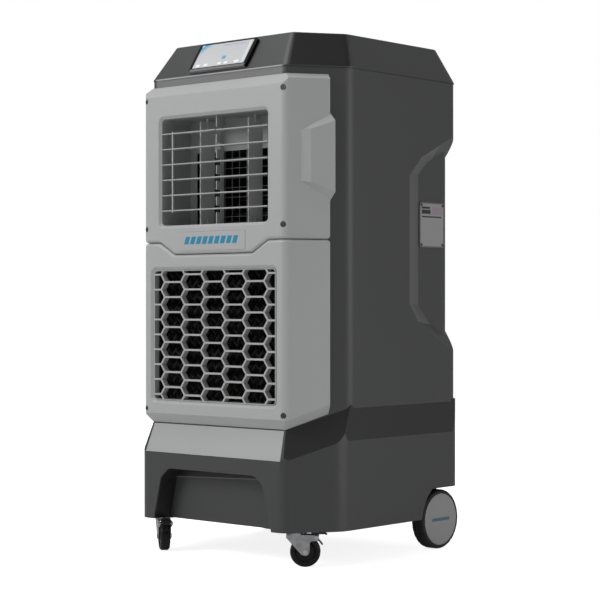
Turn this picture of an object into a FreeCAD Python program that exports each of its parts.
import FreeCAD, Part
import math
import os

# Portable evaporative cooler, in millimetres. +Z is up and the air outlet faces -Y.
# The origin is on the floor, under the middle of the cabinet.

V = FreeCAD.Vector
os.makedirs("parts", exist_ok=True)

# ---------------------------------------------------------------- driving sizes
BODY_FRONT = -274.0        # front wall of the cabinet
BODY_REAR = 290.0          # rear wall of the cabinet
HALF_FRONT = 225.0         # half width of the front wall
HALF_WIDTH = 315.0         # half width of the cabinet
CHAMFER_Y = -145.0         # where the angled front corners reach the side walls
WALL = 4.0                 # moulded wall
FRONT_R = 20.0             # rounding between front and angled corner
SIDE_R = 45.0              # rounding between angled corner and side
REAR_R = 42.0              # rounding of the rear corners
SEAM_GAP = 0.4             # gap between neighbouring mouldings

BASE_OUT = 24.0            # base stands this far outside the cabinet in front
BASE_SIDE_OUT = 6.0        # and this far at the sides
BASE_Z = 84.0              # underside of the base
BAND_FRONT = (250.0, 323.0)   # foot and top of the sloping band at the front
BAND_SIDE = (297.0, 371.0)    # and along the sides
TANK_TOP = 380.0
TANK_WALL = 4.5
TRIM_T = 2.5               # front band trim
TRIM_HALF = (228.0, 220.0)    # its half width at the foot and at the top
TOE_DEPTH = 48.0           # reach of the toe recess into the base
TOE_R = 20.0               # rounding of the recess's top corners
NOTCH_WALL = 270.0         # wall of the base behind the rear notch

HOOD_Z = 1181.0            # lower edge of the hood
TOP_Z = 1270.0             # overall height
HOOD_LIP = 1.5             # hood overhang past the cabinet
HOOD_EDGE = 3.0            # upright edge below the hood's slopes
HOOD_TOP = [(-198, -220), (198, -220), (273, -108), (273, 264), (-273, 264), (-273, -108)]
HOOD_TOP_RADII = [16, 16, 32, 34, 34, 32]

DISPLAY_HALF = 98.0        # half width of the display's housing
DISPLAY_RISE = 43.0        # half its length up the slope
DISPLAY_UP = 49.0          # its middle, up the slope from the slope's foot
DISPLAY_OUT = (0.8, 8.0)   # its back and front, out of the slope
GLASS_HALF = 89.5
GLASS_RISE = (-36.0, 40.5)
GLASS_T = 1.8

PANEL_OUT = 19.0           # front panels stand this far off the cabinet
PANEL_SIDE_OUT = 20.0      # and this far off the angled corners
PANEL_WALL = 3.5
PANEL_END = 103.0          # length of the panel's wing along the angled corner
PANEL_TOP = 1164.0
PANEL_BOTTOM = 324.0
SEAM_Z = 773.5             # seam between the two front panels
TONGUE_Z = 743.5           # the upper panel's tongue reaches down to here
SEAM_CLEAR = 1.2
BADGE = [(-112, 751), (112, 751), (112, 798), (-112, 798)]
REAR_HALF = 232.0          # air intake in the rear wall
REAR_Z = (400.0, 1120.0)

OUTLET_HALF = 180.0        # clear opening of the air outlet
OUTLET_Z = (815.5, 1081.0)
OUTLET_BEVEL = 8.0
DUCT_BACK = -184.0
DUCT_WALL = 3.0
GUARD_HALF = 158.0         # blower outlet behind the duct
GUARD_TOP = 1002.0
GUARD_PITCH = 24.0
GUARD_BAR = 3.0
RIB_T = 3.0                # upright rib in the middle of the outlet
RIB_SETBACK = 6.5          # its front edge, behind the duct's
RIB_BACK = -252.0

SLAT_COUNT = 6
SLAT_TOP_Z = 1044.0
SLAT_PITCH = 38.3
SLAT_CHORD = 24.0
SLAT_T = 3.2
SLAT_NOSE_R = 1.4
SLAT_TAIL_R = 0.9
SLAT_Y = -276.0
SLAT_PIN_R = 2.5
LINK_X = -143.5
LINK_ARM = 9.0             # link pin ahead of the slat pivot
LINK_T = 3.6               # tie bar across
LINK_HALF = 2.4            # and half its width
LINK_NOTCH = 4.6           # the slat is notched this far behind the link pin
LINK_PIN_R = 1.2

VANE_X = 81.5
VANE_Y = -226.0
VANE_CHORD = 51.0
VANE_T = 4.0
VANE_PIN_R = 3.0
VANE_ARM = 15.0
RUN_GAP = 0.06             # radial play of a running fit

GRILLE_HALF = 207.0
GRILLE_Z = (381.0, 705.0)
HEX_COLUMN = 70.0          # column pitch of the long hexagons
HEX_ROW = 37.3             # row pitch
HEX_SLANT = 13.0           # sideways reach of a slanted side
HEX_FIRST = 432.7          # height of a cell's middle in the middle column
HEX_BAR = 4.5
HEX_DEPTH = 15.0

SCOOP_FLOOR = 289.0        # half width across the hollows in the sides
BLOWER_Y = 15.0
BLOWER_Z = 790.0
BLOWER_HALF = 150.0        # half width inside the scroll
INLET_R = 108.0            # air inlets in the scroll's cheeks
CUTOFF_R = 135.0
SCROLL_GROW = 80.0
CUTOFF_ANGLE = math.radians(170)
SCROLL_SWEEP = math.radians(280)
RAIL_Z = 608.0             # the blower stands on two rails across the cabinet
WHEEL_FAN_R = 125.0
SHAFT_R = 6.0

PAD_T = 48.0
FRONT_PAD_Z = (384.0, 716.0)
REAR_PAD_Z = (386.0, 1120.0)
RISER_X = -200.0           # pump and riser tube
RISER_Y = 203.0
RISER_R = 13.0
BRANCH_R = 8.0
MANIFOLD_R = 11.0
REAR_PIPE = (253.0, 1135.0)    # depth and height of the pipe over the rear pad
FRONT_PIPE = (-245.0, 740.0)   # and over the front pad
HOSE = (150.0, 125.0)      # hose inlet: across and height
HOSE_R = 13.2
DRAIN = (-60.0, 108.0)     # drain: across and height
FLOAT_PIN = (150.0, 232.0, 146.0)
FLOAT_BALL_R = 28.0
FLOAT_DROP = 12.0          # the float hangs this far below level in a dry tank

REAR_WHEEL_R = 75.0
REAR_WHEEL_Y = 228.0
REAR_WHEEL_FACE = 302.0
REAR_WHEEL_W = 38.0
REAR_CAP_R = 65.0          # flat cap over the outer face
AXLE_R = 8.0

CASTER_X = 225.0
CASTER_Y = -241.0
CASTER_R = 36.0
CASTER_W = 24.0
CASTER_TRAIL = 24.0
CASTER_ANGLE = {"right": 40.0, "left": -37.0}
CASTER_AXLE_R = 4.0
PEDAL_PIN = (50.0, 70.0)   # along the trail, and height
PEDAL_PIN_R = 2.5

PANEL_SCREWS = [(232.0, 1128.7), (231.5, 807.6), (232.0, 358.7)]
SCREW_HEAD_R = 5.5
SCREW_R = 2.2
SCREW_SINK = 6.0           # depth of the counterbore
SCREW_SINK_R = 7.2
SCREW_END = 22.0           # the shank ends this far behind the front wall's face


# ---------------------------------------------------------------- helpers
def in_xy(z):
    """Map outline points to the horizontal plane at height z."""
    return lambda p: V(p[0], p[1], z)


def in_xz(y):
    """Map (x, z) outline points to the plane at depth y."""
    return lambda p: V(p[0], y, p[1])


def in_yz(x):
    """Map (y, z) outline points to the plane at x."""
    return lambda p: V(x, p[0], p[1])


def wire(points, radii, place):
    """Closed wire through the points, each corner rounded by its radius."""
    if isinstance(radii, (int, float)):
        radii = [radii] * len(points)
    starts = []
    edges = []
    for i, point in enumerate(points):
        corner = V(point[0], point[1], 0)
        before = V(points[i - 1][0], points[i - 1][1], 0)
        after = V(points[(i + 1) % len(points)][0], points[(i + 1) % len(points)][1], 0)
        u = (before - corner).normalize()
        w = (after - corner).normalize()
        half = math.acos(max(-1.0, min(1.0, u.dot(w)))) / 2
        reach = radii[i] / math.tan(half)
        inward = (u + w).normalize() if half < math.pi / 2 - 1e-6 else V(0, 0, 0)
        centre = corner + inward * (radii[i] / math.sin(half))
        middle = centre - inward * radii[i]
        starts.append((corner + u * reach, middle, corner + w * reach, radii[i]))
    for i, (start, middle, end, radius) in enumerate(starts):
        following = starts[(i + 1) % len(starts)][0]
        if radius > 0:
            edges.append(Part.Arc(place(start), place(middle), place(end)).toShape())
        if (following - end).Length > 1e-6:
            edges.append(Part.LineSegment(place(end), place(following)).toShape())
    return Part.Wire(edges)


def slab(points, radii, place, travel):
    """Solid made by pushing a rounded outline along a vector."""
    return Part.Face(wire(points, radii, place)).extrude(V(*travel))


def box(x0, x1, y0, y1, z0, z1):
    return Part.makeBox(x1 - x0, y1 - y0, z1 - z0, V(x0, y0, z0))


def rod(radius, start, end):
    """Cylinder between two points."""
    start = V(*start)
    axis = V(*end) - start
    return Part.makeCylinder(radius, axis.Length, start, axis)


def rectangle(half, low, high):
    return [(-half, low), (half, low), (half, high), (-half, high)]


def offset(points, distances):
    """Move each side of a counter-clockwise polygon outward."""
    count = len(points)
    if isinstance(distances, (int, float)):
        distances = [distances] * count
    lines = []
    for i in range(count):
        ax, ay = points[i]
        bx, by = points[(i + 1) % count]
        length = math.hypot(bx - ax, by - ay)
        nx = (by - ay) / length
        ny = (ax - bx) / length
        lines.append((nx, ny, nx * ax + ny * ay + distances[i]))
    moved = []
    for i in range(count):
        n1x, n1y, c1 = lines[i - 1]
        n2x, n2y, c2 = lines[i]
        det = n1x * n2y - n1y * n2x
        moved.append(((c1 * n2y - c2 * n1y) / det, (n1x * c2 - n2x * c1) / det))
    return moved


def beyond(a, b, c, outward, size=1500.0):
    """Block on the outer side of the plane through three points."""
    a = V(*a)
    along = (V(*b) - a).normalize()
    normal = along.cross(V(*c) - a).normalize()
    if normal.dot(V(*outward)) < 0:
        normal = normal * -1
    across = normal.cross(along)
    corners = [a + along * (i * size) + across * (j * size) for i, j in ((-1, -1), (1, -1), (1, 1), (-1, 1))]
    return Part.Face(Part.makePolygon(corners + [corners[0]])).extrude(normal * size)


def mirrored(shape):
    """The same shape on the other side of the middle plane."""
    return shape.mirror(V(0, 0, 0), V(1, 0, 0))


def both(shape):
    return Part.makeCompound([shape, mirrored(shape)])


def joined(shapes):
    """One solid from touching shapes."""
    whole = shapes[0].multiFuse(shapes[1:]) if len(shapes) > 1 else shapes[0]
    return whole.removeSplitter()


def rounded(shape, radius, chosen):
    """Round the chosen edges, or leave the shape alone if the kernel refuses."""
    edges = [edge for edge in shape.Edges if chosen(edge)]
    if not edges:
        return shape
    try:
        result = shape.makeFillet(radius, edges)
    except Exception:
        return shape
    return result if result.isValid() and result.Volume > 0 else shape


def placed(shape, angle, x, y):
    """Turn about Z and move: takes a caster from its own frame to its corner."""
    copy = shape.copy()
    copy.rotate(V(0, 0, 0), V(0, 0, 1), angle)
    copy.translate(V(x, y, 0))
    return copy


def save(name, shape):
    solids = shape.Solids
    result = solids[0] if len(solids) == 1 else Part.makeCompound(solids)
    result.exportStep("parts/%s.step" % name)


# ---------------------------------------------------------------- outlines
BODY = [
    (-HALF_FRONT, BODY_FRONT), (HALF_FRONT, BODY_FRONT), (HALF_WIDTH, CHAMFER_Y),
    (HALF_WIDTH, BODY_REAR), (-HALF_WIDTH, BODY_REAR), (-HALF_WIDTH, CHAMFER_Y),
]
BODY_RADII = [FRONT_R, FRONT_R, SIDE_R, REAR_R, REAR_R, SIDE_R]
BASE = offset(BODY, [BASE_OUT, BASE_OUT, BASE_SIDE_OUT, 0, BASE_SIDE_OUT, BASE_OUT])
BASE_RADII = [FRONT_R + 14, FRONT_R + 14, SIDE_R + 25, REAR_R, REAR_R, SIDE_R + 25]
CHAMFER = V(HALF_WIDTH - HALF_FRONT, CHAMFER_Y - BODY_FRONT, 0).normalize()
CHAMFER_OUT = V(CHAMFER.y, -CHAMFER.x, 0)
CORNER = V(HALF_FRONT, BODY_FRONT, 0)


def body_prism(shrink, z0, z1):
    radii = [max(r - shrink, 5) for r in BODY_RADII]
    return slab(offset(BODY, -shrink), radii, in_xy(z0), (0, 0, z1 - z0))


# ---------------------------------------------------------------- base and cabinet
def base_form(shrink, z0, z1):
    """Base block with its sloping band, pulled in all round by shrink."""
    outline = offset(BASE, -shrink)
    radii = [r - shrink for r in BASE_RADII]
    form = slab(outline, radii, in_xy(z0), (0, 0, z1 - z0))
    inner = offset(BODY, -shrink)
    (ux, uy), (vx, vy) = outline[1], outline[2]
    (px, py), (qx, qy) = inner[1], inner[2]
    front = beyond((0, uy, BAND_FRONT[0]), (ux, uy, BAND_FRONT[0]), (0, py, BAND_FRONT[1]), (0, -1, 0.3))
    angled = beyond((ux, uy, BAND_FRONT[0]), (vx, vy, BAND_SIDE[0]), (px, py, BAND_FRONT[1]), (1, -1, 0.3))
    side = beyond((vx, 0, BAND_SIDE[0]), (vx, vy, BAND_SIDE[0]), (qx, 0, BAND_SIDE[1]), (1, 0, 0.1))
    form = form.cut([front, angled, side, mirrored(angled), mirrored(side)])
    return form


def toe_recess(grow):
    """Hollow in the front of the base, open at the floor."""
    mouth = [(-206, 60), (206, 60), (174, 190), (146, 213), (-146, 213), (-174, 190)]
    floor = [(-194, 60), (194, 60), (165, 184), (140, 204), (-140, 204), (-165, 184)]
    radii = [0, 0, TOE_R, TOE_R, TOE_R, TOE_R]
    face = BASE[0][1]
    front = wire(offset(mouth, grow), radii, in_xz(face - 1))
    back = wire(offset(floor, grow), radii, in_xz(face + TOE_DEPTH + grow))
    return Part.makeLoft([front, back], True, True)


def wheel_well(grow):
    outline = [(118, 60), (330, 60), (330, 158), (167, 158), (146, 138), (131, 110)]
    return slab(offset(outline, grow), 0, in_yz(255 - grow), (90, 0, 0))


def rear_notch(grow):
    """Space behind the foot of the base for the hose inlet and the drain."""
    outline = [(NOTCH_WALL, 60), (330, 60), (330, 192), (BODY_REAR, 192), (NOTCH_WALL, 184)]
    return slab(offset(outline, grow), 0, in_yz(-340), (680, 0, 0))


def base_voids(grow):
    return [toe_recess(grow), wheel_well(grow), mirrored(wheel_well(grow)), rear_notch(grow)]


def scoop(grow):
    """Stepped hollow in the rear half of the right side wall."""
    mouth = [(400, 1112), (131, 986), (82, 938), (82, 622), (116, 576), (400, 418)]
    floor = [(400, 1077), (184, 976), (150, 944), (150, 618), (202, 568), (400, 458)]
    reach = (HALF_WIDTH - 235) / (HALF_WIDTH - SCOOP_FLOOR)
    deep = [(m[0] + (f[0] - m[0]) * reach, m[1] + (f[1] - m[1]) * reach) for m, f in zip(mouth, floor)]
    outside = [(m[0] - (f[0] - m[0]) * 0.4, m[1] - (f[1] - m[1]) * 0.4) for m, f in zip(mouth, floor)]
    sections = []
    for outline, x in ((outside, HALF_WIDTH + 0.4 * (HALF_WIDTH - SCOOP_FLOOR)), (deep, 235.0)):
        sections.append(wire(offset(outline, grow), 0, in_yz(x)))
    wedge = Part.makeLoft(sections, True, True)
    core = offset(BODY, [0, 0, SCOOP_FLOOR - HALF_WIDTH, 0, 0, 0])
    core = offset(core, -grow) if grow else core
    floor_block = slab(core, [5, 5, 20, REAR_R, REAR_R, 20], in_xy(380), (0, 0, 760))
    return wedge.cut(floor_block)


def make_base():
    outer = base_form(0, BASE_Z, TANK_TOP)
    cavity = base_form(TANK_WALL, BASE_Z + TANK_WALL, TANK_TOP + 1)
    cavity = cavity.cut(base_voids(TANK_WALL))
    tank = outer.cut(base_voids(0)).cut(cavity)
    low, high = BAND_FRONT[0] + 1.5, BAND_FRONT[1] - 1.5
    foot, top = TRIM_HALF
    band = slab([(-foot, low), (foot, low), (top, high), (-top, high)], 0, in_xz(-320), (0, 120, 0))
    trim = base_form(0, BASE_Z, TANK_TOP).common(band).cut(base_form(TRIM_T, BASE_Z, TANK_TOP))
    tank = tank.cut(trim)
    drain_x, drain_z = DRAIN
    hose_x, hose_z = HOSE
    tank = tank.fuse(rod(17, (drain_x, NOTCH_WALL - 8, drain_z), (drain_x, NOTCH_WALL + 11, drain_z)))
    tank = tank.cut(rod(12, (drain_x, NOTCH_WALL - 20, drain_z), (drain_x, NOTCH_WALL + 30, drain_z)))
    tank = tank.cut(rod(11, (hose_x, NOTCH_WALL - 20, hose_z), (hose_x, NOTCH_WALL + 30, hose_z)))
    return tank, trim


def make_cabinet():
    shell = body_prism(0, 300, HOOD_Z)
    shell = shell.cut([scoop(0), mirrored(scoop(0))])
    cavity = body_prism(WALL, 290, HOOD_Z - WALL)
    cavity = cavity.cut([scoop(WALL), mirrored(scoop(WALL))])
    shell = shell.cut(cavity)
    base = base_form(0, BASE_Z, TANK_TOP)
    base.translate(V(0, 0, SEAM_GAP))
    base = base.fuse(box(-400, 400, -400, 400, 100, 300 + 1))
    shell = shell.cut(base)
    shell = shell.cut(box(-250, 250, -150, 150, HOOD_Z - 10, HOOD_Z + 5))
    low, high = OUTLET_Z
    outlet_hole = (OUTLET_HALF + 7, low - 7, high + 7)
    grille_hole = (GRILLE_HALF - 4, GRILLE_Z[0] + 4, GRILLE_Z[1] - 4)
    for half, z0, z1 in (outlet_hole, grille_hole):
        hole = slab(rectangle(half, z0, z1), 12, in_xz(BODY_FRONT - 10), (0, 30, 0))
        shell = shell.cut(hole)
    shell = shell.cut(slab(rectangle(REAR_HALF, *REAR_Z), 14, in_xz(BODY_REAR - 20), (0, 40, 0)))
    for x, z in PANEL_SCREWS:
        hole = rod(SCREW_R, (x, BODY_FRONT - 40, z), (x, BODY_FRONT + SCREW_END + 2, z))
        shell = shell.cut(both(hole))
    plate = box(-SCOOP_FLOOR - 9, -SCOOP_FLOOR + 6, 176, 228, 800, 844)
    shell = shell.cut(plate)
    return shell


def make_hood():
    foot = offset(BODY, HOOD_LIP)
    foot_radii = [r + HOOD_LIP for r in BODY_RADII]
    lip = slab(foot, foot_radii, in_xy(HOOD_Z + SEAM_GAP), (0, 0, HOOD_EDGE))
    lower = wire(foot, foot_radii, in_xy(HOOD_Z + SEAM_GAP + HOOD_EDGE))
    upper = wire(HOOD_TOP, HOOD_TOP_RADII, in_xy(TOP_Z))
    outer = Part.makeLoft([lower, upper], True, True)
    outer = rounded(outer, 5.0, lambda e: e.BoundBox.ZMin > TOP_Z - 0.1)
    outer = lip.fuse(outer).removeSplitter()
    inner_foot = offset(foot, -WALL)
    inner_top = offset(HOOD_TOP, -WALL)
    inner = Part.makeLoft([
        wire(inner_foot, [r - WALL for r in foot_radii], in_xy(HOOD_Z - 1)),
        wire(inner_top, [r - WALL for r in HOOD_TOP_RADII], in_xy(TOP_Z - WALL)),
    ], True, True)
    hood = outer.cut(inner)
    window = slope_block(-60, 60, -14, 14, -12, 12)
    return hood.cut(window)


# ---------------------------------------------------------------- display on the hood slope
SLOPE_FOOT = V(0, BODY_FRONT - HOOD_LIP, HOOD_Z + SEAM_GAP + HOOD_EDGE)
SLOPE_HEAD = V(0, HOOD_TOP[0][1], TOP_Z)
SLOPE_UP = (SLOPE_HEAD - SLOPE_FOOT).normalize()
SLOPE_OUT = V(0, -SLOPE_UP.z, SLOPE_UP.y)
SLOPE_MID = SLOPE_FOOT + SLOPE_UP * DISPLAY_UP


def slope_block(x0, x1, up0, up1, out0, out1, radius=0):
    """Block in the frame of the hood's front slope: x, up the slope, out of it."""
    points = [(x0, up0), (x1, up0), (x1, up1), (x0, up1)]
    place = lambda p: SLOPE_MID + V(p[0], 0, 0) + SLOPE_UP * p[1] + SLOPE_OUT * out0
    return Part.Face(wire(points, radius, place)).extrude(SLOPE_OUT * (out1 - out0))


def make_display():
    half = DISPLAY_HALF
    rise = DISPLAY_RISE
    back, front = DISPLAY_OUT
    foot, head = GLASS_RISE
    seat = front - GLASS_T + 0.2
    housing = slope_block(-half, half, -rise, rise, back, front, 7)
    housing = rounded(housing, 1.5, lambda e: abs((e.CenterOfMass - SLOPE_MID).dot(SLOPE_OUT) - front) < 0.1)
    seat_half = GLASS_HALF + 0.2
    glass_seat = slope_block(-seat_half, seat_half, foot - 0.2, head + 0.2, seat, front + 8, 3.2)
    cavity = slope_block(-GLASS_HALF + 4, GLASS_HALF - 4, foot + 4, head - 4, back - 1, seat - 2, 3)
    housing = housing.cut(glass_seat).cut(cavity)
    glass = slope_block(-GLASS_HALF, GLASS_HALF, foot, head, seat, seat + GLASS_T, 3)
    board = slope_block(-80, 80, -26, 26, -9.6, -8)
    parts = [board]
    for x, up, size in ((-55, 0, 11), (-20, 8, 9), (20, -6, 12), (55, 6, 8)):
        parts.append(slope_block(x - size, x + size, up - size * 0.7, up + size * 0.7, -12.5, -9.6))
    for x in (-72, 72):
        parts.append(slope_block(x - 3, x + 3, -3, 3, -8, -5.9))
    return housing, glass, joined(parts)


# ---------------------------------------------------------------- front panels
def panel_form(shrink, back):
    """Solid envelope of both front panels, pulled in by shrink; back moves the rear face."""
    skin = offset(BODY, [PANEL_OUT - shrink, PANEL_SIDE_OUT - shrink, 0, 0, 0, PANEL_SIDE_OUT - shrink])
    rear = offset(BODY, back)
    end = CORNER + CHAMFER * (PANEL_END - shrink)
    tip = end + CHAMFER_OUT * (PANEL_SIDE_OUT - shrink)
    foot = end + CHAMFER_OUT * back
    right = [(rear[1][0], rear[1][1]), (foot.x, foot.y), (tip.x, tip.y), skin[1]]
    left = [(-x, y) for x, y in right[::-1]]
    points = (right + left)[::-1]
    radii = [0, 0, 2.5, 25, 25, 2.5, 0, 0]
    low = PANEL_BOTTOM - 60
    form = slab(points, radii, in_xy(low), (0, 0, PANEL_TOP - shrink - low))
    face = skin[0][1]
    top = PANEL_TOP - shrink
    front_top = beyond((0, face, 1138 - shrink), (9, face, 1138 - shrink), (0, BODY_FRONT, top), (0, -1, 1))
    tip_z = 1151 - shrink
    corner = skin[1]
    side_top = beyond(
        (tip.x, tip.y, tip_z), (corner[0], corner[1], tip_z), (foot.x, foot.y, top), (0.5, -0.5, 1))
    front_low = beyond(
        (0, face, 348 + shrink), (9, face, 348 + shrink), (0, BODY_FRONT, PANEL_BOTTOM + shrink), (0, -1, -1))
    edge = CORNER + CHAMFER * PANEL_END
    side_low = beyond(
        (CORNER.x, CORNER.y, PANEL_BOTTOM + shrink), (edge.x, edge.y, 360 + shrink),
        (corner[0], corner[1], 345 + shrink), (0.5, -0.5, -1))
    cutters = [front_top, side_top, mirrored(side_top), front_low, side_low, mirrored(side_low)]
    return form.cut(cutters)


def grip(shrink):
    """Raised hand grip on the panel's wing; its rear end stands clear of the cabinet."""
    def at(along, out, z):
        p = CORNER + CHAMFER * along + CHAMFER_OUT * (PANEL_SIDE_OUT - shrink + out)
        return V(p.x, p.y, z)
    end = PANEL_END + 9
    low = wire_3d([at(26, -3, 910), at(26, -3, 1028), at(PANEL_END, -3, 1072), at(PANEL_END, -3, 863)])
    high = wire_3d([at(54, 11, 905), at(54, 11, 1031), at(end, 13, 1052), at(end, 13, 884)])
    return Part.makeLoft([low, high], True, True)


def wire_3d(points):
    return Part.makePolygon(points + [points[0]])


def seam_region(upper):
    gap = 0 if upper else -SEAM_CLEAR
    top = 1400 if upper else 200
    points = [(-500, SEAM_Z + gap), (-184, SEAM_Z + gap), (-131, TONGUE_Z + gap),
              (131, TONGUE_Z + gap), (184, SEAM_Z + gap), (500, SEAM_Z + gap), (500, top), (-500, top)]
    radii = [0, 14, 14, 14, 14, 0, 0, 0]
    return slab(points, radii, in_xz(-400), (0, 360, 0))


def opening_cut(half, low, high, radius, bevel):
    """Bevelled opening through the panel face."""
    face = BODY_FRONT - PANEL_OUT
    wide = wire(rectangle(half + bevel, low - bevel, high + bevel), radius + bevel, in_xz(face - 0.5))
    narrow = wire(rectangle(half, low, high), radius, in_xz(face + 6))
    through = slab(rectangle(half, low, high), radius, in_xz(face + 5.9), (0, 40, 0))
    return Part.makeLoft([wide, narrow], True, True).fuse(through)


def opening_lip(half, low, high, radius, bevel):
    """Return wall behind the bevelled opening."""
    face = BODY_FRONT - PANEL_OUT
    points = rectangle(half + bevel + 3, low - bevel - 3, high + bevel + 3)
    return slab(points, radius + bevel + 3, in_xz(face), (0, 8.5, 0))


def end_corner(edge, low, high):
    """True for edges across the wing's rear end, between two heights."""
    if len(edge.Vertexes) != 2:
        return False
    centre = edge.CenterOfMass
    run = edge.Vertexes[0].Point - edge.Vertexes[1].Point
    near = abs(abs(centre.x) - 292) < 12 and abs(centre.y + 196) < 14
    across = abs(run.x * CHAMFER_OUT.x) + abs(run.y * CHAMFER_OUT.y) > 12
    return near and across and low < centre.z < high


def make_panel(upper):
    region = seam_region(upper)
    form = panel_form(0, 0.3).common(region)
    outer_ends = (1100, 1170) if upper else (320, 500)
    form = rounded(form, 22 if upper else 14, lambda e: end_corner(e, *outer_ends))
    form = rounded(form, 8, lambda e: end_corner(e, 765, 785))
    inner = panel_form(PANEL_WALL, -20).common(region)
    inner.translate(V(0, 0, PANEL_WALL if upper else -PANEL_WALL))
    inner = inner.common(panel_form(PANEL_WALL, -20))
    panel = form.cut(inner)
    if upper:
        solid_grip = grip(0)
        panel = panel.fuse([solid_grip, mirrored(solid_grip)])
        clear = body_prism(-0.3, 300, HOOD_Z)
        panel = panel.cut(clear)
        half, z0, z1, radius, bevel = OUTLET_HALF, OUTLET_Z[0], OUTLET_Z[1], 10, OUTLET_BEVEL
    else:
        half, z0, z1, radius, bevel = GRILLE_HALF, GRILLE_Z[0], GRILLE_Z[1], 10, 9
    lip = opening_lip(half, z0, z1, radius, bevel)
    panel = panel.fuse(lip.common(form))
    screws = PANEL_SCREWS[:2] if upper else PANEL_SCREWS[2:]
    face = BODY_FRONT - PANEL_OUT
    for x, z in screws:
        for side in (-1, 1):
            boss = rod(10, (x * side, face - 5, z), (x * side, BODY_FRONT + SCREW_END, z)).common(form)
            panel = panel.fuse(boss)
    for x, z in screws:
        for side in (-1, 1):
            panel = panel.cut(rod(SCREW_SINK_R, (x * side, face - 5, z), (x * side, face + SCREW_SINK, z)))
            panel = panel.cut(rod(SCREW_R, (x * side, face, z), (x * side, BODY_FRONT + SCREW_END, z)))
    panel = panel.cut(opening_cut(half, z0, z1, radius, bevel))
    if upper:
        seat = slab(BADGE, 6, in_xz(face - 1), (0, 2, 0))
        panel = panel.cut(seat)
    return panel.removeSplitter()


def make_badge():
    face = BODY_FRONT - PANEL_OUT
    plate = slab(offset(BADGE, -0.3), 5.7, in_xz(face + 1), (0, -1.8, 0))
    return rounded(plate, 0.6, lambda e: e.BoundBox.YMax < face - 0.75)


def make_screws():
    face = BODY_FRONT - PANEL_OUT
    screws = []
    for place, z in PANEL_SCREWS:
        for x in (-place, place):
            head = rod(SCREW_HEAD_R, (x, face + SCREW_SINK, z), (x, face + 3, z))
            shank = rod(SCREW_R - 0.1, (x, face + SCREW_SINK, z), (x, BODY_FRONT + SCREW_END, z))
            slot_a = box(x - 3, x + 3, face + 2.5, face + 4.5, z - 0.5, z + 0.5)
            slot_b = box(x - 0.5, x + 0.5, face + 2.5, face + 4.5, z - 3, z + 3)
            screws.append(head.fuse(shank).cut([slot_a, slot_b]))
    return Part.makeCompound(screws)


def hex_plate(half, low, high, radius, y0, depth, rim):
    """Plate pierced by long hexagons; neighbouring columns are half a row apart."""
    plate = slab(rectangle(half, low, high), radius, in_xz(y0), (0, depth, 0))
    inside = rectangle(half - rim, low + rim, high - rim)
    window = slab(inside, max(radius - rim, 1), in_xz(y0 - 1), (0, depth + 2, 0))
    flat = HEX_COLUMN - HEX_SLANT
    columns = int(half / HEX_COLUMN) + 1
    holes = []
    for column in range(-columns, columns + 1):
        shift = 0.5 if column % 2 else 0
        rows = int((high - low) / HEX_ROW) + 2
        for row in range(-2, rows):
            z = HEX_FIRST + (row + shift) * HEX_ROW
            if z < low - HEX_ROW or z > high + HEX_ROW:
                continue
            x = column * HEX_COLUMN
            tall = HEX_ROW / 2
            points = [(x - flat / 2, z - tall), (x + flat / 2, z - tall), (x + flat / 2 + HEX_SLANT, z),
                      (x + flat / 2, z + tall), (x - flat / 2, z + tall), (x - flat / 2 - HEX_SLANT, z)]
            holes.append(slab(offset(points, -HEX_BAR / 2), 1.5, in_xz(y0 - 1), (0, depth + 2, 0)))
    pierced = Part.makeCompound(holes).common(window)
    return plate.cut(pierced)


# ---------------------------------------------------------------- air outlet
def slat_heights():
    return [SLAT_TOP_Z - i * SLAT_PITCH for i in range(SLAT_COUNT)]


def make_duct():
    low, high = OUTLET_Z
    half = OUTLET_HALF
    front = BODY_FRONT - PANEL_OUT + 9
    depth = DUCT_BACK - front
    outline = rectangle(half + DUCT_WALL, low - DUCT_WALL, high + DUCT_WALL)
    outer = slab(outline, 13, in_xz(front), (0, depth, 0))
    inner = slab(rectangle(half, low, high), 10, in_xz(front - 1), (0, depth + 1 - DUCT_WALL, 0))
    duct = outer.cut(inner)
    duct = duct.cut(slab(rectangle(GUARD_HALF, low, GUARD_TOP), 4, in_xz(DUCT_BACK - 10), (0, 20, 0)))
    rib = box(-RIB_T / 2, RIB_T / 2, front + RIB_SETBACK, RIB_BACK, low - 1, high + 1)
    for z in slat_heights():
        rib = rib.cut(box(-RIB_T, RIB_T, front - 5, SLAT_Y + SLAT_CHORD / 2 + 1.5, z - 8.3, z + 8.3))
    duct = duct.fuse(rib)
    for z in slat_heights():
        pin_hole = SLAT_PIN_R + RUN_GAP
        duct = duct.cut(rod(pin_hole, (-half - 10, SLAT_Y, z), (half + 10, SLAT_Y, z)).cut(
            box(-half + 2, half - 2, -300, -200, 800, 1100)))
    for x in (-VANE_X, VANE_X):
        duct = duct.cut(rod(VANE_PIN_R + RUN_GAP, (x, VANE_Y, low - 10), (x, VANE_Y, low + 1)))
        duct = duct.cut(rod(VANE_PIN_R + RUN_GAP, (x, VANE_Y, high - 1), (x, VANE_Y, high + 10)))
    return duct


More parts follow.
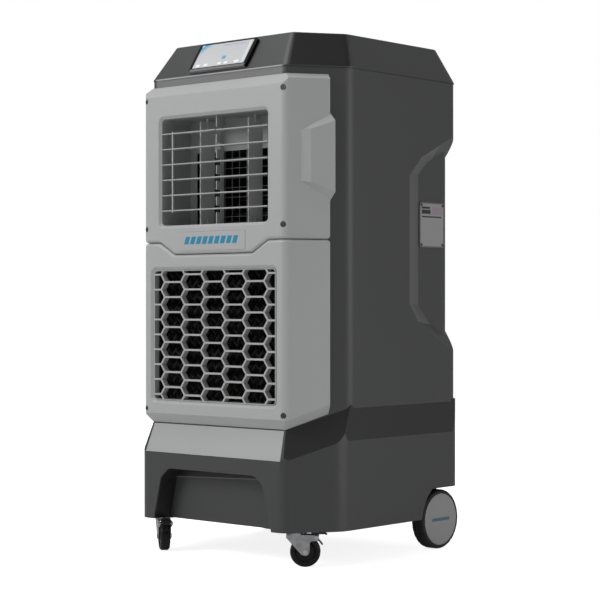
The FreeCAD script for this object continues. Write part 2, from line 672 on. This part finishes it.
def make_slat(z, first):
    """Blade with a pin at each end and an ear for the tie bar."""
    t = SLAT_T / 2
    half = OUTLET_HALF - 1.5
    chord = [(SLAT_Y - SLAT_CHORD / 2, z - t), (SLAT_Y + SLAT_CHORD / 2, z - 1.0),
             (SLAT_Y + SLAT_CHORD / 2, z + 1.0), (SLAT_Y - SLAT_CHORD / 2, z + t)]
    radii = [SLAT_NOSE_R, SLAT_TAIL_R, SLAT_TAIL_R, SLAT_NOSE_R]
    blade = slab(chord, radii, in_yz(-half), (2 * half, 0, 0))
    reach = OUTLET_HALF + DUCT_WALL - 0.3
    pins = [rod(SLAT_PIN_R, (side * (half - 3), SLAT_Y, z), (side * reach, SLAT_Y, z)) for side in (-1, 1)]
    notch = box(LINK_X - 2.6, LINK_X + 2.6, SLAT_Y - 20, SLAT_Y - LINK_ARM + LINK_NOTCH, z - 6, z + 6)
    pin = rod(LINK_PIN_R, (LINK_X - 3, SLAT_Y - LINK_ARM, z), (LINK_X + 3, SLAT_Y - LINK_ARM, z))
    if first:
        tip = SLAT_Y - 16.5
        root = SLAT_Y - 8
        outline = [(tip, z - 1.5), (root, z - t), (root, z + t), (tip, z + 1.5)]
        tab = slab(outline, 1.2, in_yz(-9), (18, 0, 0))
        blade = blade.fuse(tab)
    return joined([blade.cut(notch), pin] + pins)


def make_slat_link():
    heights = slat_heights()
    y = SLAT_Y - LINK_ARM
    low = heights[-1] - 5
    high = heights[0] + 5
    outline = [(y - LINK_HALF, low), (y + LINK_HALF, low), (y + LINK_HALF, high), (y - LINK_HALF, high)]
    bar = slab(outline, 1.5, in_yz(LINK_X - LINK_T / 2), (LINK_T, 0, 0))
    for z in heights:
        bar = bar.cut(rod(LINK_PIN_R + RUN_GAP, (LINK_X - 5, y, z), (LINK_X + 5, y, z)))
    return bar


def make_vane(x):
    low, high = OUTLET_Z
    bottom = low + 2.5
    top = high - 8
    y0 = VANE_Y - VANE_CHORD / 2
    y1 = VANE_Y + VANE_CHORD / 2
    t = VANE_T / 2
    blade = slab([(x - t, y0), (x + t, y0), (x + 0.9, y1), (x - 0.9, y1)], [1.7, 1.7, 0.8, 0.8],
                 in_xy(bottom), (0, 0, top - bottom))
    upper_pin = rod(VANE_PIN_R, (x, VANE_Y, top - 12), (x, VANE_Y, high + DUCT_WALL - 0.3))
    lower_pin = rod(VANE_PIN_R, (x, VANE_Y, low - 10), (x, VANE_Y, bottom + 12))
    arm = slab([(x - 5, VANE_Y - 5), (x + 5, VANE_Y - 5), (x + 4, VANE_Y + VANE_ARM + 4),
                (x - 4, VANE_Y + VANE_ARM + 4)], 3.5, in_xy(low - 10), (0, 0, 3.5))
    crank = rod(2, (x, VANE_Y + VANE_ARM, low - 14.5), (x, VANE_Y + VANE_ARM, low - 8))
    return joined([blade, upper_pin, lower_pin, arm, crank])


def make_vane_link():
    z = OUTLET_Z[0] - 14
    y = VANE_Y + VANE_ARM
    bar = slab([(-VANE_X - 7, y - 5), (VANE_X + 7, y - 5), (VANE_X + 7, y + 5), (-VANE_X - 7, y + 5)],
               4.5, in_xy(z), (0, 0, 3.2))
    for x in (-VANE_X, VANE_X):
        bar = bar.cut(rod(2 + RUN_GAP, (x, y, z - 5), (x, y, z + 8)))
    return bar


def make_vane_motor():
    x = -VANE_X
    top = OUTLET_Z[0] - 17
    can = rod(17, (x, VANE_Y, top - 18), (x, VANE_Y, top))
    ears = slab([(x - 26, VANE_Y - 5), (x + 26, VANE_Y - 5), (x + 26, VANE_Y + 5), (x - 26, VANE_Y + 5)], 4,
                in_xy(top - 2), (0, 0, 2))
    posts = [rod(3, (x + side * 22, VANE_Y, top), (x + side * 22, VANE_Y, OUTLET_Z[0] - DUCT_WALL))
             for side in (-1, 1)]
    shaft = rod(2.5, (x, VANE_Y, top - 2), (x, VANE_Y, OUTLET_Z[0] - 10.3))
    return joined([can, ears, shaft] + posts)


def make_guard():
    low = OUTLET_Z[0]
    outline = rectangle(GUARD_HALF + 5, low - 3, GUARD_TOP + 6)
    plate = slab(outline, 4, in_xz(DUCT_BACK + 0.2), (0, GUARD_BAR, 0))
    cells = []
    columns = int(2 * GUARD_HALF / GUARD_PITCH)
    rows = int((GUARD_TOP - low) / (GUARD_PITCH - 1))
    pitch_x = 2 * GUARD_HALF / columns
    pitch_z = (GUARD_TOP - low) / rows
    bar = GUARD_BAR / 2
    for i in range(columns):
        for j in range(rows):
            x0 = -GUARD_HALF + i * pitch_x + bar
            z0 = low + j * pitch_z + bar
            x1 = x0 + pitch_x - GUARD_BAR
            z1 = z0 + pitch_z - GUARD_BAR
            cells.append(box(x0, x1, DUCT_BACK - 5, DUCT_BACK + 10, z0, z1))
    return plate.cut(Part.makeCompound(cells))


# ---------------------------------------------------------------- blower
def scroll_profile(grow):
    """Spiral side outline of the blower, opening forward at its top."""
    points = []
    steps = 9
    for i in range(steps + 1):
        share = i / steps
        angle = CUTOFF_ANGLE + SCROLL_SWEEP * share
        radius = CUTOFF_R + grow + SCROLL_GROW * share
        points.append(V(0, BLOWER_Y + radius * math.cos(angle), BLOWER_Z + radius * math.sin(angle)))
    curve = Part.BSplineCurve()
    curve.interpolate(points)
    mouth = DUCT_BACK + 4 - grow
    top = V(0, mouth, points[-1].z)
    bottom = V(0, mouth, points[0].z)
    edges = [curve.toShape(), Part.LineSegment(points[-1], top).toShape(),
             Part.LineSegment(top, bottom).toShape(), Part.LineSegment(bottom, points[0]).toShape()]
    return Part.Wire(edges)


def make_scroll():
    half = BLOWER_HALF
    outer = Part.Face(scroll_profile(3))
    outer.translate(V(-half - 3, 0, 0))
    outer = outer.extrude(V(2 * half + 6, 0, 0))
    inner = Part.Face(scroll_profile(0))
    inner.translate(V(-half, 0, 0))
    inner = inner.extrude(V(2 * half, 0, 0))
    low = BLOWER_Z + CUTOFF_R * math.sin(CUTOFF_ANGLE)
    shell = outer.cut(inner)
    shell = shell.cut(box(-half, half, DUCT_BACK - 10, DUCT_BACK + 12, low, GUARD_TOP + 3))
    shell = shell.cut(box(-400, 400, DUCT_BACK - 30, DUCT_BACK + 4, 700, 1100))
    shell = shell.cut(rod(INLET_R, (-half - 10, BLOWER_Y, BLOWER_Z), (half + 10, BLOWER_Y, BLOWER_Z)))
    supports = []
    wall_face = HALF_WIDTH - WALL - SEAM_GAP
    for y in (-60, 40):
        supports.append(box(-wall_face, wall_face, y, y + 30, RAIL_Z, RAIL_Z + 6))
        for x in (-half + 8, half - 30):
            supports.append(box(x, x + 22, y, y + 30, RAIL_Z, RAIL_Z + 45).cut(inner))
    return joined([shell] + supports)


def make_fan_wheel():
    y, z = BLOWER_Y, BLOWER_Z
    parts = []
    for x in (-122, 118):
        parts.append(rod(WHEEL_FAN_R, (x, y, z), (x + 4, y, z)).cut(rod(104, (x - 1, y, z), (x + 5, y, z))))
    parts.append(rod(WHEEL_FAN_R, (-1.5, y, z), (1.5, y, z)))
    parts.append(rod(20, (-22, y, z), (14, y, z)))
    blades = 32
    for i in range(blades):
        turn = 360.0 * i / blades
        inner_arc = Part.Arc(V(0, 105, 0), V(0, 116, 4.2), V(0, 123.5, 12)).toShape()
        outer_arc = Part.Arc(V(0, 106, -1.6), V(0, 117, 2.6), V(0, 124.5, 10.6)).toShape()
        ends = [Part.LineSegment(a, b).toShape() for a, b in (
            (V(0, 105, 0), V(0, 106, -1.6)), (V(0, 123.5, 12), V(0, 124.5, 10.6)))]
        face = Part.Face(Part.Wire(Part.__sortEdges__([inner_arc, outer_arc] + ends)))
        blade = face.extrude(V(242, 0, 0))
        blade.rotate(V(0, 0, 0), V(1, 0, 0), turn)
        blade.translate(V(-121, y, z))
        parts.append(blade)
    wheel = parts[0].multiFuse(parts[1:])
    return wheel.cut(rod(SHAFT_R, (-60, y, z), (60, y, z)))


def make_motor():
    y, z = BLOWER_Y, BLOWER_Z
    can = rod(52, (30, y, z), (150, y, z))
    can = rounded(can, 6, lambda e: True)
    nose = rod(18, (22, y, z), (31, y, z))
    tail = rod(30, (149, y, z), (160, y, z))
    motor = joined([can, nose, tail])
    motor = motor.cut(rod(SHAFT_R + RUN_GAP, (10, y, z), (70, y, z)))
    shaft = rod(SHAFT_R, (-22, y, z), (68, y, z))
    return motor, shaft


def make_motor_mount():
    y, z = BLOWER_Y, BLOWER_Z
    x0 = BLOWER_HALF + 3.2
    ring = rod(50, (x0, y, z), (x0 + 4, y, z)).cut(rod(30.2, (x0 - 1, y, z), (x0 + 5, y, z)))
    rim = rod(121, (x0, y, z), (x0 + 4, y, z)).cut(rod(109, (x0 - 1, y, z), (x0 + 5, y, z)))
    arms = []
    for turn in (90, 210, 330):
        arm = box(x0, x0 + 4, y - 9, y + 9, z + 40, z + 114)
        arm.rotate(V(0, y, z), V(1, 0, 0), turn)
        arms.append(arm)
    return joined([ring, rim] + arms)


# ---------------------------------------------------------------- pads and water
def make_pads():
    front = box(-210, 210, BODY_FRONT + WALL + 1, BODY_FRONT + WALL + 1 + PAD_T, *FRONT_PAD_Z)
    rear = box(-236, 236, BODY_REAR - WALL - 13 - PAD_T, BODY_REAR - WALL - 13, *REAR_PAD_Z)
    return front, rear


def make_rear_grille():
    z0, z1 = REAR_Z
    plate = hex_plate(REAR_HALF + 10, z0 - 10, z1 + 10, 16, BODY_REAR - WALL - 8, 7.6, 14)
    return plate


def make_pump():
    x, y = RISER_X, RISER_Y
    floor = BASE_Z + TANK_WALL
    body = rod(32, (x, y, floor + 8), (x, y, floor + 62))
    strainer = rod(38, (x, y, floor + 0.2), (x, y, floor + 12))
    for i in range(16):
        slot = box(x + 33, x + 45, y - 2, y + 2, floor + 2, floor + 9)
        slot.rotate(V(x, y, 0), V(0, 0, 1), i * 22.5)
        strainer = strainer.cut(slot)
    neck = rod(10, (x, y, floor + 60), (x, y, floor + 76))
    return joined([body, strainer, neck])


def make_riser():
    """Tube up from the pump, with a branch to each distribution pipe."""
    x, y = RISER_X, RISER_Y
    bottom = BASE_Z + TANK_WALL + 62
    rear_y, top = REAR_PIPE
    front_y, low = FRONT_PIPE
    upright = rod(RISER_R, (x, y, bottom), (x, y, top + 10))
    rear_branch = rod(BRANCH_R, (x, y, top), (x, rear_y - 8, top))
    front_branch = rod(BRANCH_R, (x, y, low), (x, front_y + 5, low))
    tube = joined([upright, rear_branch, front_branch])
    bore = BRANCH_R - 2.5
    tube = tube.cut(rod(10.1, (x, y, bottom - 1), (x, y, top)))
    tube = tube.cut(rod(bore, (x, y, top), (x, rear_y - 7, top)))
    return tube.cut(rod(bore, (x, y, low), (x, front_y + 4, low)))


def make_manifold(place, half, join_back):
    """Distribution pipe over a pad, with a row of drip holes underneath."""
    y, z = place
    bore = MANIFOLD_R - 2.5
    pipe = rod(MANIFOLD_R, (-half, y, z), (half, y, z)).cut(rod(bore, (-half + 3, y, z), (half - 3, y, z)))
    reach = -BRANCH_R if join_back else BRANCH_R
    pipe = pipe.cut(rod(BRANCH_R + 0.1, (RISER_X, y + reach * 2, z), (RISER_X, y + reach * 0.2, z)))
    pitch = 26
    for i in range(int(2 * half / pitch)):
        x = -half + pitch / 2 + i * pitch
        pipe = pipe.cut(rod(1.6, (x, y, z - 14), (x, y, z)))
    return pipe


def make_float_valve():
    """Valve inside the tank's rear wall; its lugs carry the float's pin."""
    x, y, z = FLOAT_PIN
    inlet_z = HOSE[1]
    body = box(x - 11, x + 11, y + 6, NOTCH_WALL - TANK_WALL - 0.2, inlet_z - 9, z)
    stem = rod(5, (x, y + 4, z - 15), (x, y + 10, z - 15))
    lugs = [box(x + side * 7 - 1.5, x + side * 7 + 1.5, y - 4, y + 8, z - 12, z + 4) for side in (-1, 1)]
    pin = rod(2, (x - 10, y, z), (x + 10, y, z))
    tail = rod(8, (x, y + 30, inlet_z), (x, y + 37, inlet_z))
    return joined([body, stem, pin, tail] + lugs)


def make_float_arm():
    x, y, z = FLOAT_PIN
    hub = rod(4.5, (x - 4, y, z), (x + 4, y, z))
    arm = rod(2, (x, y, z), (x, y - 92, z + 4))
    ball = Part.makeSphere(FLOAT_BALL_R, V(x, y - 110, z + 6))
    whole = joined([hub, arm, ball]).cut(rod(2 + RUN_GAP, (x - 10, y, z), (x + 10, y, z)))
    whole.rotate(V(x, y, z), V(1, 0, 0), FLOAT_DROP)
    return whole


def make_hose_inlet():
    x, z = HOSE
    face = NOTCH_WALL
    flange = rod(19, (x, face + 0.2, z), (x, face + 4, z))
    spigot = rod(HOSE_R, (x, face + 2, z), (x, face + 25, z))
    for i in range(6):
        y = face + 8 + i * 2.6
        groove = rod(20, (x, y, z), (x, y + 1.1, z)).cut(rod(HOSE_R - 1, (x, y - 1, z), (x, y + 3, z)))
        spigot = spigot.cut(groove)
    stem = rod(10.6, (x, face - TANK_WALL + 0.1, z), (x, face + 2, z))
    body = joined([flange, spigot, stem])
    return body.cut(rod(8.1, (x, face - 30, z), (x, face + 30, z)))


def make_drain_cap():
    """Screw cap over the drain spout, with a grip bar across its end."""
    x, z = DRAIN
    face = NOTCH_WALL
    cap = rod(22, (x, face + 1, z), (x, face + 21, z)).cut(rod(17.1, (x, face - 5, z), (x, face + 16, z)))
    cap = rounded(cap, 2, lambda e: e.BoundBox.YMin > face + 20.5)
    flutes = 18
    for i in range(flutes):
        flute = rod(1.6, (x + 22.6, face, z), (x + 22.6, face + 18, z))
        flute.rotate(V(x, 0, z), V(0, 1, 0), i * 360 / flutes)
        cap = cap.cut(flute)
    bar = box(x - 2.5, x + 2.5, face + 20.5, face + 26, z - 16, z + 16)
    return cap.fuse(bar)


def make_power_inlet():
    floor = -SCOOP_FLOOR
    plate = slab([(172, 792), (232, 792), (232, 852), (172, 852)], 5, in_yz(floor - 3), (2.8, 0, 0))
    shroud = slab([(177, 801), (227, 801), (227, 843), (177, 843)], 5, in_yz(floor - 3), (24, 0, 0))
    socket = slab([(187, 810), (217, 810), (217, 834), (187, 834)], 4, in_yz(floor - 4), (19, 0, 0))
    body = joined([plate, shroud]).cut(socket)
    places = ((195, 819), (202, 826), (209, 819))
    pins = [box(floor - 1, floor + 16, y - 1, y + 1, z - 3, z + 3) for y, z in places]
    return joined([body] + pins)


def make_nameplate():
    floor = SCOOP_FLOOR
    plate = slab([(153, 763), (254, 763), (254, 877), (153, 877)], 7, in_yz(floor + 0.1), (2.4, 0, 0))
    screws = []
    for y in (160, 247):
        for z in (770, 870):
            plate = plate.cut(rod(1.8, (floor - 2, y, z), (floor + 5, y, z)))
            head = rounded(rod(3.6, (floor + 2.5, y, z), (floor + 4.2, y, z)), 1.0,
                           lambda e: e.BoundBox.XMin > floor + 4)
            screws.append(head.fuse(rod(1.6, (floor + 0.2, y, z), (floor + 3, y, z))))
    return plate, Part.makeCompound(screws)


# ---------------------------------------------------------------- running gear
def turned(profile, centre):
    """Solid of revolution about the X axis through centre; profile is (x, r) points."""
    points = [V(x, 0, r) for x, r in profile]
    face = Part.Face(Part.makePolygon(points + [points[0]]))
    solid = face.revolve(V(0, 0, 0), V(1, 0, 0), 360)
    solid.translate(V(0, centre[0], centre[1]))
    return solid


def make_rear_wheel():
    face = REAR_WHEEL_FACE
    back = face - REAR_WHEEL_W - 1
    r = REAR_WHEEL_R
    centre = (REAR_WHEEL_Y, r)
    seat = REAR_CAP_R + 0.3
    shoulder = face - 1.2
    tyre = turned([(back, 59), (back, r - 6), (back + 2, r - 2), (back + 7, r), (face - 8, r),
                   (face - 3, r - 2), (shoulder, r - 6), (shoulder, seat), (face - 4.4, seat),
                   (face - 4.4, 59)], centre)
    for side in range(2):
        x = back + 13 + side * 11
        tyre = tyre.cut(turned([(x, r + 1), (x, r - 2), (x + 2, r - 2), (x + 2, r + 1)], centre))
    bore = AXLE_R + RUN_GAP
    flange = face - 4.2
    hub = turned([(back + 1, bore), (back + 1, 20), (back + 12, 20), (back + 12, 52), (back + 2, 52),
                  (back + 2, 58.8), (flange, 58.8), (flange, REAR_CAP_R), (face - 1.6, REAR_CAP_R),
                  (face - 0.4, 60), (face, 30), (face, 0), (face - 4.5, 0), (face - 4.5, bore)], centre)
    return tyre, hub


def make_axle():
    y, z = REAR_WHEEL_Y, REAR_WHEEL_R
    axle = rod(AXLE_R, (-296, y, z), (296, y, z))
    top = BASE_Z - 0.1
    brackets = []
    for x in (-190, 190):
        block = box(x - 16, x + 16, y - 13, y + 13, z - 12.5, top)
        flange = box(x - 16, x + 16, y - 34, y + 34, top - 3, top)
        bracket = block.fuse(flange).cut(rod(AXLE_R + 0.05, (x - 20, y, z), (x + 20, y, z)))
        for bolt in (-24, 24):
            bracket = bracket.fuse(rod(5, (x, y + bolt, top - 6.4), (x, y + bolt, top - 2.9)))
        brackets.append(bracket.removeSplitter())
    return axle, Part.makeCompound(brackets)


def caster_leg(y):
    """One cheek of the fork, from the swivel to the wheel's axle and the brake pivot."""
    points = [(-21, 76.2), (-21, 70), (15, 30), (24, 26.5), (32.5, 30), (34.5, 40), (35, 58), (40, 62),
              (55, 62), (57, 74.5), (34, 76.2)]
    cheek = Part.Face(wire(points[::-1], [0, 2, 3, 3, 2, 4, 5, 5, 4, 4, 1], lambda p: V(p[0], y, p[1])))
    return cheek.extrude(V(0, 2.6, 0))


def make_caster():
    """Every piece of one caster in its own frame: swivel on Z, wheel trailing along +X."""
    trail, r = CASTER_TRAIL, CASTER_R
    plate = slab([(-24, -24), (24, -24), (24, 24), (-24, 24)], 5, in_xy(BASE_Z - 3), (0, 0, 2.9))
    race = rod(18, (0, 0, BASE_Z - 5.2), (0, 0, BASE_Z - 3))
    stud = rod(5, (0, 0, 74.6), (0, 0, BASE_Z - 4))
    plate = joined([plate, race, stud])
    for x in (-17, 17):
        for y in (-17, 17):
            plate = plate.fuse(rod(3.8, (x, y, BASE_Z - 5.6), (x, y, BASE_Z - 2.8)))
    gap = CASTER_W / 2 + 2
    crown = slab([(-21, -gap - 2.6), (32, -gap - 2.6), (32, gap + 2.6), (-21, gap + 2.6)], 3,
                 in_xy(74.0), (0, 0, 2.2))
    cup = rod(19.5, (0, 0, 75), (0, 0, BASE_Z - 5.5))
    fork = joined([crown, cup, caster_leg(gap), caster_leg(-gap - 2.6)])
    fork = fork.cut(rod(5 + RUN_GAP, (0, 0, 60), (0, 0, 90)))
    pins = []
    for px, pz, pr in ((trail, r, CASTER_AXLE_R), (PEDAL_PIN[0], PEDAL_PIN[1], PEDAL_PIN_R)):
        fork = fork.cut(rod(pr, (px, -30, pz), (px, 30, pz)))
        reach = gap + 2.6
        pins.append(rod(pr, (px, -reach - 1.6, pz), (px, reach + 1.6, pz)))
        for side in (-1, 1):
            head = rod(pr + 1.8, (px, side * (reach + 0.05), pz), (px, side * (reach + 2), pz))
            pins[-1] = pins[-1].fuse(head)
    half = CASTER_W / 2
    bore = CASTER_AXLE_R + RUN_GAP
    side = [(half + 1.4, bore), (half + 1.4, 9), (half - 2, 12), (half - 4, 22), (half, 26), (half, r - 4),
            (half - 4, r)]
    profile = [(-x, radius) for x, radius in side] + side[::-1]
    wheel = turned(profile, (0, 0))
    wheel.rotate(V(0, 0, 0), V(0, 0, 1), 90)
    wheel.translate(V(trail, 0, r))
    px, pz = PEDAL_PIN
    width = 11.0
    barrel = rod(5, (px, -width, pz), (px, width, pz))
    outline = [(38, 77.6), (70, 77.6), (75, 75.6), (76, 77.2), (71, 80), (38, 80)]
    blade = slab(outline, 0, in_xz(-width), (0, 2 * width, 0))
    web = box(px - 3, px + 3, -width, width, pz, 78.5)
    outline = [(px + 1, pz - 3), (px + 4, pz - 3), (64.5, 55), (66, 52.5), (63.5, 52.5), (62, 54)]
    shoe = slab(outline, 0, in_xz(-width), (0, 2 * width, 0))
    pedal = joined([barrel, blade, web, shoe]).cut(rod(PEDAL_PIN_R + RUN_GAP, (px, -20, pz), (px, 20, pz)))
    return {"caster_plate": plate, "caster_fork": fork, "caster_pins": Part.makeCompound(pins),
            "caster_wheel": wheel, "brake_pedal": pedal}


# ---------------------------------------------------------------- everything
def main():
    tank, trim = make_base()
    save("base_tank", tank)
    save("base_front_trim", trim)
    save("cabinet_shell", make_cabinet())
    save("top_hood", make_hood())
    housing, glass, board = make_display()
    save("display_housing", housing)
    save("display_screen", glass)
    save("control_board", board)
    save("upper_front_panel", make_panel(True))
    save("lower_front_panel", make_panel(False))
    save("badge_plate", make_badge())
    save("panel_screws", make_screws())
    face = BODY_FRONT - PANEL_OUT
    low, high = GRILLE_Z
    save("hex_grille", hex_plate(GRILLE_HALF - 0.3, low + 0.3, high - 0.3, 9.7, face + 3.6, HEX_DEPTH, 2))
    save("rear_grille", make_rear_grille())
    save("outlet_duct", make_duct())
    save("fan_guard", make_guard())
    for i, z in enumerate(slat_heights()):
        save("slat_%d" % (i + 1), make_slat(z, i == 0))
    save("slat_link", make_slat_link())
    save("vane_left", make_vane(-VANE_X))
    save("vane_right", make_vane(VANE_X))
    save("vane_link", make_vane_link())
    save("vane_motor", make_vane_motor())
    save("blower_housing", make_scroll())
    save("blower_wheel", make_fan_wheel())
    motor, shaft = make_motor()
    save("blower_motor", motor)
    save("blower_shaft", shaft)
    save("motor_mount", make_motor_mount())
    front, rear = make_pads()
    save("front_pad", front)
    save("rear_pad", rear)
    save("pump", make_pump())
    save("riser_tube", make_riser())
    save("rear_manifold", make_manifold(REAR_PIPE, 225, True))
    save("front_manifold", make_manifold(FRONT_PIPE, 212, False))
    save("float_valve", make_float_valve())
    save("float_arm", make_float_arm())
    save("hose_inlet", make_hose_inlet())
    save("drain_cap", make_drain_cap())
    save("power_inlet", make_power_inlet())
    plate, screws = make_nameplate()
    save("nameplate", plate)
    save("nameplate_screws", screws)
    tyre, hub = make_rear_wheel()
    for side, turn in (("right", lambda s: s), ("left", mirrored)):
        save("rear_tyre_" + side, turn(tyre))
        save("rear_hub_" + side, turn(hub))
    axle, brackets = make_axle()
    save("rear_axle", axle)
    save("axle_brackets", brackets)
    pieces = make_caster()
    for side, x in (("right", CASTER_X), ("left", -CASTER_X)):
        for name, shape in pieces.items():
            angle = 0 if name == "caster_plate" else CASTER_ANGLE[side]
            save("%s_%s" % (name, side), placed(shape, angle, x, CASTER_Y))


main()
